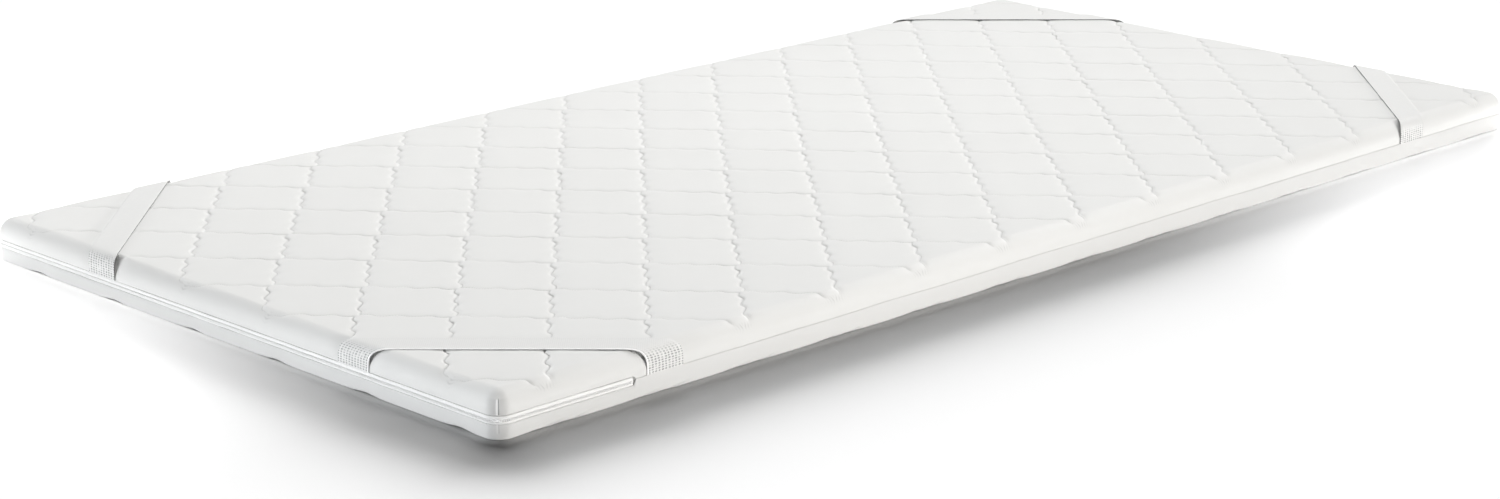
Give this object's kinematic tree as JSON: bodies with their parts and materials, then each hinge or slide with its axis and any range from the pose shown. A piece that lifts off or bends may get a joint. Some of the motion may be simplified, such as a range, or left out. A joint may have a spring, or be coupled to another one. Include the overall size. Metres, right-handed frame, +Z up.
{
  "type": "mattress topper",
  "caption": "Flat rectangular mattress topper with a quilted top in wavy diamonds, rounded corners, a side zip round one end and an elastic strap across each corner.",
  "frame": {"origin": "middle of the flat underside", "axes": "+X along the topper, away from the zip's end; +Y across it; +Z up through its thickness"},
  "size_m": [2.003, 1.013, 0.0575],
  "materials": {
    "quilted_knit": "soft matt quilted knit, off-white",
    "under_knit": "soft matt knit, off-white",
    "zip_tape": "fine matt woven tape, white",
    "zip_coil": "satin nylon coil, white",
    "woven_elastic": "ribbed woven elastic, white"
  },
  "bodies": {
    "root": {"upper_cover": "quilted_knit", "lower_cover": "under_knit", "zip_tape_upper": "zip_tape", "zip_tape_lower": "zip_tape", "zip_coil": "zip_coil", "strap_front_left": "woven_elastic", "strap_front_right": "woven_elastic", "strap_back_left": "woven_elastic", "strap_back_right": "woven_elastic"}
  },
  "joints": []
}
